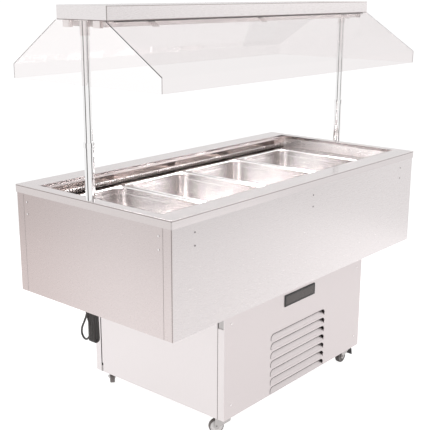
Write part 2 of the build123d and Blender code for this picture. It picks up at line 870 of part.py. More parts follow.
fork_gap = 1.5
leg_inside = wheel_width / 2 + fork_gap
braked = ("front_right", "rear_right")
lever_pivot_x = race_radius + 1
lever_pivot_height = 51
lever_width = 20
pedal_width = 30
ear_reach = race_radius + 6
lever_pin_radius = 1.5
for name, (x, y, yaw) in casters.items():
    spot = caster_plane(x, y, yaw)
    side_plane = Plane(origin=spot.origin, x_dir=spot.x_dir, z_dir=-spot.y_dir)
    hub = spot.from_local_coords(Vector(-caster_trail, 0, axle_height))
    with BuildPart() as fork:
        with BuildSketch(spot.offset(fork_top - 4)):
            Circle(race_radius)
        extrude(amount=4)
        with BuildSketch(side_plane):
            with BuildLine():
                Polyline(
                    (ear_reach, fork_top),
                    (-race_radius - 6, fork_top),
                    (-caster_trail - 10, axle_height),
                )
                ThreePointArc(
                    (-caster_trail - 10, axle_height),
                    (-caster_trail, axle_height - 10),
                    (-caster_trail + 10, axle_height),
                )
                Polyline(
                    (-caster_trail + 10, axle_height),
                    (ear_reach, lever_pivot_height - 5),
                    (ear_reach, fork_top),
                )
            make_face()
        extrude(amount=leg_inside + fork_sheet, both=True)
        with BuildSketch(side_plane):
            Rectangle(200, 2 * (fork_top - 4 - race_gap), align=(Align.CENTER, Align.CENTER))
        extrude(amount=leg_inside, both=True, mode=Mode.SUBTRACT)
        with BuildSketch(side_plane):
            with Locations((race_radius - 4, 0)):
                Rectangle(60, 3 * fork_top, align=(Align.MIN, Align.CENTER))
        extrude(amount=leg_inside, both=True, mode=Mode.SUBTRACT)
        if name in braked:
            with BuildSketch(side_plane):
                with Locations((lever_pivot_x, lever_pivot_height)):
                    Circle(lever_pin_radius + 0.05)
            extrude(amount=2 * leg_inside, both=True, mode=Mode.SUBTRACT)
        with BuildSketch(Plane(origin=hub, x_dir=spot.x_dir, z_dir=spot.y_dir)):
            Circle(axle_diameter / 2)
        extrude(amount=leg_inside + fork_sheet + 3, both=True)
    finish(fork, f"caster_fork_{name}")
    with BuildPart() as wheel:
        with BuildSketch(Plane(origin=hub, x_dir=spot.x_dir, z_dir=spot.y_dir)):
            Circle(wheel_diameter / 2)
        extrude(amount=wheel_width / 2, both=True)
        fillet(wheel.edges().filter_by(GeomType.CIRCLE), 3)
        for face_side in (-1, 1):
            with BuildSketch(
                Plane(
                    origin=hub + spot.y_dir * (face_side * wheel_width / 2),
                    x_dir=spot.x_dir,
                    z_dir=spot.y_dir,
                )
            ):
                Circle(wheel_centre_radius)
                Circle(wheel_boss_radius, mode=Mode.SUBTRACT)
            extrude(amount=3, both=True, mode=Mode.SUBTRACT)
        with BuildSketch(Plane(origin=hub, x_dir=spot.x_dir, z_dir=spot.y_dir)):
            Circle(axle_diameter / 2 + 0.1)
        extrude(amount=wheel_width, both=True, mode=Mode.SUBTRACT)
    finish(wheel, f"caster_wheel_{name}")

for name in braked:
    x, y, yaw = casters[name]
    spot = caster_plane(x, y, yaw)
    side_plane = Plane(origin=spot.origin, x_dir=spot.x_dir, z_dir=-spot.y_dir)
    with BuildPart() as lever:
        with BuildSketch(side_plane):
            with Locations((lever_pivot_x, lever_pivot_height)):
                Circle(4)
        extrude(amount=lever_width / 2, both=True)
        with BuildSketch(side_plane):
            Polygon(
                (lever_pivot_x, lever_pivot_height + 4),
                (lever_pivot_x + 9, lever_pivot_height + 3),
                (lever_pivot_x + 9, lever_pivot_height - 2),
                (lever_pivot_x, lever_pivot_height - 3),
                align=None,
            )
        extrude(amount=lever_width / 2, both=True)
        with BuildSketch(side_plane):
            Polygon(
                (lever_pivot_x + 7, lever_pivot_height + 3.5),
                (lever_pivot_x + 15, lever_pivot_height - 1),
                (lever_pivot_x + 22, lever_pivot_height - 15),
                (lever_pivot_x + 25, lever_pivot_height - 36),
                (lever_pivot_x + 21, lever_pivot_height - 36),
                (lever_pivot_x + 17, lever_pivot_height - 16),
                (lever_pivot_x + 11, lever_pivot_height - 5),
                (lever_pivot_x + 7, lever_pivot_height - 2),
                align=None,
            )
        extrude(amount=pedal_width / 2, both=True)
        with BuildSketch(side_plane):
            with Locations((lever_pivot_x, lever_pivot_height)):
                Circle(lever_pin_radius)
        extrude(amount=leg_inside + fork_sheet + 1, both=True)
    finish(lever, f"brake_lever_{name}")

# Posts: fixed lower tubes with clamp collars, and the tubes that slide in them
collar_base = rim_height + collar_bottom
lower_top = rim_height + lower_tube_rise
upper_bottom = lower_top - upper_overlap
socket_gap = 0.15
with BuildPart() as post_lower:
    for side in (-1, 1):
        with BuildSketch(Plane((side * post_x, 0, rim_height))):
            Circle(lower_tube / 2)
            Circle(lower_tube / 2 - tube_wall, mode=Mode.SUBTRACT)
        extrude(amount=lower_tube_rise)
finish(post_lower, "post_lower")
with BuildPart() as post_collars:
    for side in (-1, 1):
        with BuildSketch(Plane((side * post_x, 0, collar_base))):
            Circle(collar_diameter / 2)
            Circle(lower_tube / 2 + 0.05, mode=Mode.SUBTRACT)
        extrude(amount=lower_tube_rise - collar_bottom)
        with BuildSketch(Plane((side * post_x, 0, lower_top))):
            Circle(collar_diameter / 2)
            Circle(upper_tube / 2 + 0.3, mode=Mode.SUBTRACT)
        extrude(amount=collar_bottom + collar_height - lower_tube_rise)
finish(post_collars, "post_collars")
with BuildPart() as post_upper:
    for side in (-1, 1):
        with BuildSketch(Plane((side * post_x, 0, upper_bottom))):
            Circle(upper_tube / 2)
            Circle(upper_tube / 2 - tube_wall, mode=Mode.SUBTRACT)
        extrude(amount=canopy_bottom - 2 - seat_gap - upper_bottom)
finish(post_upper, "post_upper")

# Canopy: folded stainless box, open under the lamp
canopy_x = canopy_length / 2
canopy_y = canopy_depth / 2
with BuildPart() as canopy_shell:
    slab((-canopy_x, -canopy_y, canopy_bottom), (canopy_x, canopy_y, canopy_bottom + canopy_height))
    fillet(canopy_shell.edges().filter_by(Axis.Z), 2)
    fillet(canopy_shell.edges().group_by(Axis.Z)[-1], 1.2)
    slab(
        (-canopy_x + sheet, -canopy_y + sheet, canopy_bottom + sheet),
        (canopy_x - sheet, canopy_y - sheet, canopy_bottom + canopy_height - sheet),
        Mode.SUBTRACT,
    )
    slab(
        (-lamp_length / 2 + 40, -lamp_depth / 2 + 20, canopy_bottom - 1),
        (lamp_length / 2 - 40, lamp_depth / 2 - 20, canopy_bottom + sheet + 1),
        Mode.SUBTRACT,
    )
finish(canopy_shell, "canopy_shell")

# Lamp housing: shallow tray hung under the canopy on spacers, with its diffuser
lamp_top = canopy_bottom - lamp_drop
lamp_bottom = lamp_top - lamp_height
lamp_wall = 2
diffuser_x = lamp_length / 2 - lamp_wall - seat_gap
diffuser_y = lamp_depth / 2 - lamp_wall - seat_gap
with BuildPart() as lamp_housing:
    slab((-lamp_length / 2, -lamp_depth / 2, lamp_bottom), (lamp_length / 2, lamp_depth / 2, lamp_top))
    slab(
        (-lamp_length / 2 + lamp_wall, -lamp_depth / 2 + lamp_wall, lamp_bottom - 1),
        (lamp_length / 2 - lamp_wall, lamp_depth / 2 - lamp_wall, lamp_top - lamp_wall),
        Mode.SUBTRACT,
    )
    with BuildSketch(Plane((0, 0, lamp_top))):
        with GridLocations(lamp_length - 40, lamp_depth - 20, 2, 2):
            Circle(6)
    extrude(amount=lamp_drop)
finish(lamp_housing, "lamp_housing")
with BuildPart() as lamp_diffuser:
    slab(
        (-diffuser_x, -diffuser_y, lamp_bottom + 1),
        (diffuser_x, diffuser_y, lamp_bottom + 1 + diffuser_thickness),
    )
finish(lamp_diffuser, "lamp_diffuser")

# Clear hood: two bent panels and two flat ends, cemented along their edges
hood_top = canopy_bottom - seat_gap
slope = Vector(0, -(hood_half_depth - canopy_y), -(hood_top - hood_bend)).normalized()
slope_y = slope.Y
slope_z = slope.Z
inner_bend_drop = hood_sheet * (1 - abs(slope_z)) / abs(slope_y)
top_inner_shift = hood_sheet / abs(slope_y)
hood_x = hood_inner_half_length - seat_gap


def hood_long(side):
    with BuildPart() as panel:
        with BuildSketch(Plane(origin=(-hood_x, 0, 0), x_dir=(0, 1, 0), z_dir=(1, 0, 0))):
            Polygon(
                (side * canopy_y, hood_top),
                (side * hood_half_depth, hood_bend),
                (side * hood_half_depth, hood_skirt),
                (side * (hood_half_depth - hood_sheet), hood_skirt),
                (side * (hood_half_depth - hood_sheet), hood_bend - inner_bend_drop),
                (side * canopy_y, hood_top - top_inner_shift),
                align=None,
            )
        extrude(amount=2 * hood_x)
    return panel


def hood_end(side):
    with BuildPart() as panel:
        inner_face = (side * hood_inner_half_length, 0, 0)
        with BuildSketch(Plane(origin=inner_face, x_dir=(0, 1, 0), z_dir=(1, 0, 0))):
            Polygon(
                (-canopy_y, hood_top),
                (canopy_y, hood_top),
                (hood_half_depth, hood_bend),
                (hood_half_depth, hood_skirt),
                (-hood_half_depth, hood_skirt),
                (-hood_half_depth, hood_bend),
                align=None,
            )
        extrude(amount=side * hood_sheet)
    return panel


hood_front = hood_long(-1)
finish(hood_front, "hood_front")
hood_rear = hood_long(1)
finish(hood_rear, "hood_rear")
hood_left = hood_end(-1)
finish(hood_left, "hood_left")
hood_right = hood_end(1)
finish(hood_right, "hood_right")

# Canopy fittings: post sockets, and the brackets that hold the hood under the canopy
bracket_width = 30
bracket_sheet = 1.5
bracket_inner = hood_inner_half_length - seat_gap - bracket_sheet
with BuildPart() as sockets:
    for side in (-1, 1):
        with BuildSketch(Plane((side * post_x, 0, canopy_bottom - socket_length))):
            Circle(socket_diameter / 2)
            Circle(upper_tube / 2 + socket_gap, mode=Mode.SUBTRACT)
        extrude(amount=socket_length - 2)
        slab(
            (side * (canopy_x - 1), -30, canopy_bottom - 2),
            (side * (lamp_length / 2 + 1), 30, canopy_bottom),
        )


def end_bracket(side, y):
    with BuildPart() as bracket:
        slab(
            (side * (hood_inner_half_length - seat_gap), y - bracket_width / 2, canopy_bottom - 22),
            (side * bracket_inner, y + bracket_width / 2, canopy_bottom - seat_gap),
        )
        slab(
            (side * bracket_inner, y - bracket_width / 2, canopy_bottom - 22),
            (side * (canopy_x - 12), y + bracket_width / 2, canopy_bottom - 22 + bracket_sheet),
        )
        slab(
            (side * (canopy_x - 12), y - bracket_width / 2, canopy_bottom - 22),
            (side * (canopy_x - 12 - bracket_sheet), y + bracket_width / 2, canopy_bottom),
        )
    return bracket.part


def long_bracket(side, x):
    # flat foot under the canopy, slanted leg under the hood
    foot_inner = canopy_y - 30
    leg = 26
    start_y = canopy_y
    start_z = hood_top - top_inner_shift - seat_gap
    end_y = canopy_y + leg * abs(slope_y)
    end_z = start_z - leg * abs(slope_z)
    with BuildPart() as bracket:
        with BuildSketch(Plane(origin=(x - bracket_width / 2, 0, 0), x_dir=(0, 1, 0), z_dir=(1, 0, 0))):
            Polygon(
                (side * foot_inner, canopy_bottom),
                (side * (start_y - 1), canopy_bottom),
                (side * (start_y - 1), start_z),
                (side * start_y, start_z),
                (side * end_y, end_z),
                (side * end_y, end_z - 2),
                (side * (start_y - 3), start_z - 2),
                (side * (start_y - 3), canopy_bottom - bracket_sheet),
                (side * foot_inner, canopy_bottom - bracket_sheet),
                align=None,
            )
        extrude(amount=bracket_width)
    return bracket.part


brackets = [end_bracket(side, y) for side in (-1, 1) for y in (-70, 70)]
brackets += [long_bracket(side, x) for side in (-1, 1) for x in (-560, 0, 560)]
with BuildPart() as canopy_fittings:
    add(sockets.part)
    add(brackets)
finish(canopy_fittings, "canopy_fittings")

# Screws: pan heads on the casing and on the cassettes
head_radius = 3.2
head_height = 1.6
screw_rows = (tank_bottom + 290, tank_bottom + 333)
long_screws = (-644, 0, 644)
end_screws = (-318, 318)
cassette_screw_x = 407
cassette_screw_rows = (120, 425)


def screw(origin, direction):
    with BuildPart() as fastener:
        with BuildSketch(Plane(origin=origin, z_dir=direction)):
            Circle(head_radius)
        extrude(amount=head_height)
        fillet(fastener.edges().filter_by(GeomType.CIRCLE).sort_by_distance(Vector(*origin))[-1], 0.8)
    return fastener.part


heads = []
for side in (-1, 1):
    for z in screw_rows:
        heads += [screw((x, side * case_y, z), (0, side, 0)) for x in long_screws]
        heads += [screw((side * case_x, y, z), (side, 0, 0)) for y in end_screws]
    for z in cassette_screw_rows:
        heads += [screw((x * cassette_screw_x, side * base_y, z), (0, side, 0)) for x in (-1, 1)]
with BuildPart() as panel_screws:
    add(heads)
finish(panel_screws, "panel_screws")

# Cord hook on the left side of the base
hook_x = (hank_outer_x + hank_inner_x) / 2
hook_rod = 10
hook_z = hank_top - cord_diameter / 2 - 0.4 - hook_rod / 2
hook_root_y = 281
hook_end_y = hank_first_y + hank_turns * hank_pitch + 14
hook_points = [
    (-base_x - 3, hook_root_y, hook_z),
    (hook_x, hook_root_y, hook_z),
    (hook_x, hook_end_y, hook_z),
    (hook_x - 12, hook_end_y + 4, hook_z + 10),
]
hook_sweep = tube(hook_points, [8, 7], hook_rod)
with BuildPart() as cord_hook:
    slab((-base_x - 3, hook_root_y - 14, hook_z - 24), (-base_x, hook_root_y + 14, hook_z + 24))
    add(hook_sweep.part)
finish(cord_hook, "cord_hook")

# Gland: elbow outlet on the side panel, with a tapered strain relief that points down
gland_x = -base_x - 21
gland_y = 246
gland_z = 445
relief_end = 410
with BuildPart() as cord_gland:
    with BuildSketch(Plane(origin=(-base_x, gland_y, gland_z), z_dir=(-1, 0, 0))):
        RegularPolygon(radius=15, side_count=6)
    extrude(amount=8)
    with BuildSketch(Plane(origin=(-base_x, gland_y, gland_z), z_dir=(-1, 0, 0))):
        Circle(9)
    extrude(amount=30)
    with BuildSketch(Plane((gland_x, gland_y, gland_z))):
        Circle(9)
    extrude(amount=-12)
    with BuildSketch(Plane((gland_x, gland_y, gland_z - 12))):
        Circle(7.5)
    with BuildSketch(Plane((gland_x, gland_y, relief_end))):
        Circle(cord_diameter / 2 + 1)
    loft()
finish(cord_gland, "cord_gland")

# Mains lead: a short free stretch, the hank on its hook, and the loose tail to the plug
lead_points = [
    (gland_x, gland_y, relief_end),
    (gland_x, gland_y, 366),
    (hank_outer_x, hank_first_y, 330),
    (hank_outer_x, hank_first_y, hank_start_height),
]
cord_lead = tube(lead_points, corner_radii(lead_points), cord_diameter)
finish(cord_lead, "cord_lead")

hank_points = [(hank_outer_x, hank_first_y, hank_start_height)]
for turn in range(hank_turns):
    y = hank_first_y + turn * hank_pitch
    hank_points.append((hank_outer_x, y, hank_bottom))
    hank_points.append((hank_inner_x, y, hank_bottom))
    hank_points.append((hank_inner_x, y + hank_pitch, hank_top))
    hank_points.append((hank_outer_x, y + hank_pitch, hank_top))
hank_last_y = hank_first_y + hank_turns * hank_pitch
hank_points.append((hank_outer_x, hank_last_y, hank_end_height))
hank_radii = [hank_fold_radius - 0.6] * (len(hank_points) - 2)
cord_hank = tube(hank_points, hank_radii, cord_diameter)
finish(cord_hank, "cord_hank")

plug_x = -497
plug_y = 317
plug_bottom = 345
tail_points = [
    (hank_outer_x, hank_last_y, hank_end_height),
    (hank_outer_x, hank_last_y, 315),
    (-478, 350, 282),
    (-480, 367, 250),
    (-482, 369, 224),
    (-484, 352, 205),
    (-487, 329, 209),
    (-490, 310, 232),
    (-493, 300, 264),
    (plug_x, 308, 300),
    (plug_x, plug_y, 322),
    (plug_x, plug_y, plug_bottom),
]
cord_tail = tube(tail_points, corner_radii(tail_points), cord_diameter)
finish(cord_tail, "cord_tail")

# Plug: moulded body with two round pins
with BuildPart() as plug:
    with BuildSketch(Plane((plug_x, plug_y, plug_bottom))):
        RectangleRounded(18, 18, 6)
    with BuildSketch(Plane((plug_x, plug_y, plug_bottom + 16))):
        RectangleRounded(25, 36, 8)
    loft()
    with BuildSketch(Plane((plug_x, plug_y, plug_bottom + 16))):
        RectangleRounded(25, 36, 8)
    extrude(amount=plug_height - 16)
    with BuildSketch(Plane((plug_x, plug_y, plug_bottom + plug_height))):
        with GridLocations(0, 19, 1, 2):
            Circle(2.4)
    extrude(amount=19)
finish(plug, "plug")

# Tie: strap round the hank and the plug
tie_height = 14
tie_z = plug_bottom + 22
tie_sheet = 1.2
tie_left = plug_x - 12.5 - seat_gap
tie_right = hank_inner_x + cord_diameter / 2 + 0.5
tie_front = hank_first_y - 3 * cord_diameter / 4 + 0.5
tie_back = hank_last_y + cord_diameter / 2 + 2.5
with BuildPart() as cord_tie:
    slab(
        (tie_left - tie_sheet, tie_front - tie_sheet, tie_z),
        (tie_right + tie_sheet, tie_back + tie_sheet, tie_z + tie_height),
    )
    fillet(cord_tie.edges().filter_by(Axis.Z), 2)
    slab((tie_left, tie_front, tie_z - 1), (tie_right, tie_back, tie_z + tie_height + 1), Mode.SUBTRACT)
finish(cord_tie, "cord_tie")
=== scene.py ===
from math import cos, pi, radians, sin

import bmesh
import bpy
from mathutils import Matrix, Vector


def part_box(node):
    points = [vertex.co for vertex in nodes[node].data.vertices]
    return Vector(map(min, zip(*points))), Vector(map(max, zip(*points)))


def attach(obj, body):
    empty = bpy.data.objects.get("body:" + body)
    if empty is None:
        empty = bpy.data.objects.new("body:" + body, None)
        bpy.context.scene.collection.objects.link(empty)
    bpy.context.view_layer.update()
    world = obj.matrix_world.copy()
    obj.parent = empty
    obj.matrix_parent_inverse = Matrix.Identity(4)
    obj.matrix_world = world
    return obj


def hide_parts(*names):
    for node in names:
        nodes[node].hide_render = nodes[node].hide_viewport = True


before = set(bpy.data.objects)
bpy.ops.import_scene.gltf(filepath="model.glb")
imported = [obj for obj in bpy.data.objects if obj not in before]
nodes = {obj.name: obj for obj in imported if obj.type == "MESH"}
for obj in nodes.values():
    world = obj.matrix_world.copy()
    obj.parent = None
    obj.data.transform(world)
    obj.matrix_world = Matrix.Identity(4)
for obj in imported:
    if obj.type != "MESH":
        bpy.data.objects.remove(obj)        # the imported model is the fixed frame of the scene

# A refrigerated buffet island: a steel tank with four food pans on a castored base,
# and a clear hood under a lit canopy on two sliding posts. Metres, +Z up.

scene = bpy.context.scene
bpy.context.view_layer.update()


# Camera, at the photograph's place: metres, degrees, and millimetres of lens and sensor
cameraView = {
    "place": (-2.50094, -2.03136, 1.52975),
    "tilt": 75.0613,
    "roll": -0.2430,
    "heading": -49.5782,
    "lens": 70.9,
    "sensor": 36,
    "farthest": 600,
}


def makeCamera():
    data = bpy.data.cameras.new("camera")
    data.lens = cameraView["lens"]
    data.sensor_width = cameraView["sensor"]
    data.clip_end = cameraView["farthest"]
    camera = bpy.data.objects.new("camera", data)
    camera.location = cameraView["place"]
    angles = [radians(cameraView[name]) for name in ("tilt", "roll", "heading")]
    camera.rotation_euler = angles
    scene.collection.objects.link(camera)
    scene.camera = camera
    scene.view_settings.view_transform = "Standard"


makeCamera()
print("camera ready")


# Mains lead: out of the gland, four turns on the hook, and a loose loop back up to the plug
lead = {
    "diameter": 0.008,
    "outerX": -0.477,
    "innerX": -0.4525,
    "firstY": 0.301,
    "pitch": 0.009,
    "turns": 4,
    "bottom": 0.199,
    "top": 0.445,
    "near": 0.0245,      # points this far from a fold keep the runs between the folds straight
}
gland = (-0.466, 0.246, 0.410)


def leadRoute():
    points = [
        gland,
        (-0.466, 0.246, 0.366),
        (lead["outerX"], lead["firstY"], 0.330),
        (lead["outerX"], lead["firstY"], 0.286),
    ]
    low, high, near = lead["bottom"], lead["top"], lead["near"]
    slant = lead["pitch"] * near / (high - low)
    for turn in range(lead["turns"]):
        y = lead["firstY"] + turn * lead["pitch"]
        after = y + lead["pitch"]
        points += [
            (lead["outerX"], y, low + near),
            (lead["outerX"], y, low),
            (lead["innerX"], y, low),
            (lead["innerX"], y + slant, low + near),
            (lead["innerX"], after - slant, high - near),
            (lead["innerX"], after, high),
            (lead["outerX"], after, high),
            (lead["outerX"], after, high - near),
        ]
    points += [
        (-0.477, 0.337, 0.345),
        (-0.477, 0.337, 0.315),
        (-0.478, 0.350, 0.282),
        (-0.480, 0.367, 0.250),
        (-0.482, 0.369, 0.224),
        (-0.484, 0.352, 0.205),
        (-0.487, 0.329, 0.209),
        (-0.490, 0.310, 0.232),
        (-0.493, 0.300, 0.264),
        (-0.497, 0.308, 0.300),
        (-0.497, 0.317, 0.322),
        (-0.497, 0.317, 0.345),
    ]
    return points


def makeLead():
    data = bpy.data.curves.new("mains_lead", "CURVE")
    data.dimensions = "3D"
    data.bevel_depth = 1      # the points' own radii give the thickness, so the curve's box is tight
    data.bevel_resolution = 4
    data.resolution_u = 8
    data.use_fill_caps = True
    spline = data.splines.new("NURBS")
    route = leadRoute()
    spline.points.add(len(route) - 1)
    for point, place in zip(spline.points, route):
        point.co = (*place, 1)
        point.radius = lead["diameter"] / 2
    spline.order_u = 3
    spline.use_endpoint_u = True
    cord = bpy.data.objects.new("mains_lead", data)
    scene.collection.objects.link(cord)
    cord.visible_glossy = False      # the real side sheet is too dull to show the hank as a dark smear
    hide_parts("cord_lead", "cord_hank", "cord_tail")
    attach(cord, "island")
    return cord


cordPiece = makeLead()


# Floor and walls: a pale sweep that glows, and an even white room with two dark gaps in it
room = {
    "floorSize": 4.6,
    "floorColour": "a6a5a5",
    "floorGlow": 0.88,
    "wallGlow": 0.92,
    "backdropGlow": 1.05,
    "white": (1, 1, 1, 1),
    "gap": (0.08, 0.07, 0.065, 1),
    "turns": (      # shares of a full turn at which the walls change, from the -X side round to it again
        (0.008, "gap"), (0.024, "white"), (0.262, "white"), (0.278, "gap"), (0.318, "gap"),
        (0.336, "white"), (0.942, "white"), (0.960, "gap"), (1.0, "gap"),
    ),
}


def hexColour(text):
    # sRGB hex to the linear colour that a shader takes
    values = [int(text[i : i + 2], 16) / 255 for i in (0, 2, 4)]
    return (*[v / 12.92 if v <= 0.04045 else ((v + 0.055) / 1.055) ** 2.4 for v in values], 1)


def addNode(tree, kind, inputs=None, **settings):
    node = tree.nodes.new(kind)
    for name, value in settings.items():
        setattr(node, name, value)
    for name, value in (inputs or {}).items():
        if isinstance(value, bpy.types.NodeSocket):
            tree.links.new(value, node.inputs[name])
        else:
            node.inputs[name].default_value = value
    return node


def newMaterial(name):
    material = bpy.data.materials.new(name)
    material.use_nodes = True
    material.node_tree.nodes.clear()
    return material, material.node_tree


def meshOf(name, shape):
    mesh = bpy.data.meshes.new(name)
    shape.to_mesh(mesh)
    shape.free()
    return mesh


def makeFloor():
    shape = bmesh.new()
    bmesh.ops.create_grid(shape, x_segments=1, y_segments=1, size=room["floorSize"] / 2)
    mesh = meshOf("floor", shape)
    floor = bpy.data.objects.new("floor", mesh)
    scene.collection.objects.link(floor)
    material, tree = newMaterial("paperSweep")
    paper = addNode(
        tree, "ShaderNodeBsdfPrincipled",
        {"Base Color": hexColour(room["floorColour"]), "Roughness": 0.9, "Specular IOR Level": 0.1,
         "Emission Color": room["white"], "Emission Strength": room["floorGlow"]},
    )
    addNode(tree, "ShaderNodeOutputMaterial", {"Surface": paper.outputs[0]})
    mesh.materials.append(material)


def makeWalls():
    # polished tubes and pans show the dark gaps as stripes
    world = bpy.data.worlds.new("studio")
    world.use_nodes = True
    tree = world.node_tree
    tree.nodes.clear()
    place = addNode(tree, "ShaderNodeTexCoord")
    turn = addNode(
        tree, "ShaderNodeTexGradient", {"Vector": place.outputs["Generated"]}, gradient_type="RADIAL",
    )
    walls = addNode(tree, "ShaderNodeValToRGB", {"Fac": turn.outputs["Fac"]})
    stops = walls.color_ramp.elements
    stops.remove(stops[1])
    stops[0].position = 0
    stops[0].color = room["gap"]
    for position, tone in room["turns"]:
        stops.new(position).color = room[tone]
    glow = addNode(
        tree, "ShaderNodeBackground",
        {"Color": walls.outputs["Color"], "Strength": room["wallGlow"]},
    )
    backdrop = addNode(
        tree, "ShaderNodeBackground", {"Color": room["white"], "Strength": room["backdropGlow"]},
    )
    path = addNode(tree, "ShaderNodeLightPath")
    both = addNode(
        tree, "ShaderNodeMixShader",
        {0: path.outputs["Is Camera Ray"], 1: glow.outputs[0], 2: backdrop.outputs[0]},
    )
    addNode(tree, "ShaderNodeOutputWorld", {"Surface": both.outputs[0]})
    scene.world = world


# Lamps: two soft boxes before the island, and the strip in its canopy that lights the pans
lamps = {
    "key": {"place": (-2.2, -3.4, 3.4), "aim": (0, 0, 0.7), "size": (2.6, 2.6), "watts": 6, "spread": 180},
    "fill": {"place": (3.2, -2.0, 2.6), "aim": (0, 0, 0.7), "size": (2.2, 2.2), "watts": 8, "spread": 180},
    "lamp": {"place": (0, 0, 1.22), "aim": (0, 0, 0), "size": (1.30, 0.44), "watts": 20, "spread": 110},
}


def makeLamps():
    for name, lamp in lamps.items():
        data = bpy.data.lights.new(name, "AREA")
        data.shape = "RECTANGLE"
        data.size, data.size_y = lamp["size"]
        data.energy = lamp["watts"]
        data.spread = radians(lamp["spread"])
        light = bpy.data.objects.new(name, data)
        light.location = lamp["place"]
        way = Vector(lamp["aim"]) - Vector(lamp["place"])
        light.rotation_euler = way.to_track_quat("-Z", "Y").to_euler()
        light.visible_camera = False
        scene.collection.objects.link(light)


makeFloor()
makeWalls()
makeLamps()
print("room ready")


def maths(tree, operation, *values):
    return addNode(tree, "ShaderNodeMath", dict(enumerate(values)), operation=operation).outputs[0]


def mixed(tree, share, first, second):
    # the first colour where the share is 0, and the second where it is 1
    inputs = {0: share, 6: first, 7: second}
    return addNode(tree, "ShaderNodeMix", inputs, data_type="RGBA").outputs[2]


def fromNearest(tree, along, pitch, centre):
    # signed distance from the nearest of the places that repeat at a pitch, one of them at centre
    moved = maths(tree, "SUBTRACT", along, centre)
    return maths(tree, "WRAP", moved, pitch / 2, -pitch / 2)


def overNoise(tree, noise, low, high):
    # nearly all of a noise texture lies between 0.3 and 0.7, which become low and high here
    return addNode(
        tree, "ShaderNodeMapRange",
        {"Value": noise.outputs["Fac"], "From Min": 0.3, "From Max": 0.7, "To Min": low, "To Max": high},
    ).outputs[0]


# Least share of its normal that a face has along an axis when a thin line is drawn on it
seamFacing = 0.6


def drawSeamsAndShadeLines(tree, place, facing, colour, seamsAndShadeLines):
    # thin lines, each at one height, depth or length on one face: dark joints between sheets, and painted
    # shade and painted highlight at folds, grooves and the gaps between parts
    split = addNode(tree, "ShaderNodeSeparateXYZ", {0: place.outputs["Object"]})
    for line in seamsAndShadeLines:
        along = split.outputs[line["axis"]]
        if "pitch" in line:
            along = maths(tree, "ABSOLUTE", fromNearest(tree, along, line["pitch"], line["centre"]))
        near = maths(tree, "COMPARE", along, line["at"], line["half"])
        lean = maths(tree, "ABSOLUTE", facing.outputs[line["face"]])
        drawn = maths(tree, "MULTIPLY", near, maths(tree, "GREATER_THAN", lean, seamFacing))
        if "within" in line:
            axis, limit = line["within"]
            reach = maths(tree, "ABSOLUTE", split.outputs[axis])
            drawn = maths(tree, "MULTIPLY", drawn, maths(tree, "LESS_THAN", reach, limit))
        colour = mixed(tree, drawn, colour, hexColour(line["tone"]))
    return colour


def drawShadeFades(tree, place, facing, colour, shadeFades):
    # painted shade and painted reflection: slow changes of tone along one axis, on the faces that look
    # along another
    split = addNode(tree, "ShaderNodeSeparateXYZ", {0: place.outputs["Object"]})
    for change in shadeFades:
        along = split.outputs[change["axis"]]
        if "pitch" in change:
            along = fromNearest(tree, along, change["pitch"], change["centre"])
        start, end = change["between"]
        reach = addNode(
            tree, "ShaderNodeMapRange", {"Value": along, "From Min": start, "From Max": end},
            interpolation_type="SMOOTHSTEP",
        )
        lean = maths(tree, "ABSOLUTE", facing.outputs[change["face"]])
        share = maths(tree, "MULTIPLY", reach.outputs[0], lean)
        colour = mixed(tree, share, colour, hexColour(change["tone"]))
    return colour


# Streaks of the brushing: 0.6 mm across the grain and 30 mm along it, as multiples of a base scale,
# with what they do to the tone and the roughness, and their depth in metres
grit = {
    "scale": 28.0, "along": 1.2, "across": 60, "darkest": 0.975, "lightest": 1.02,
    "glossier": 0.03, "duller": 0.04, "depth": 0.00002,
}


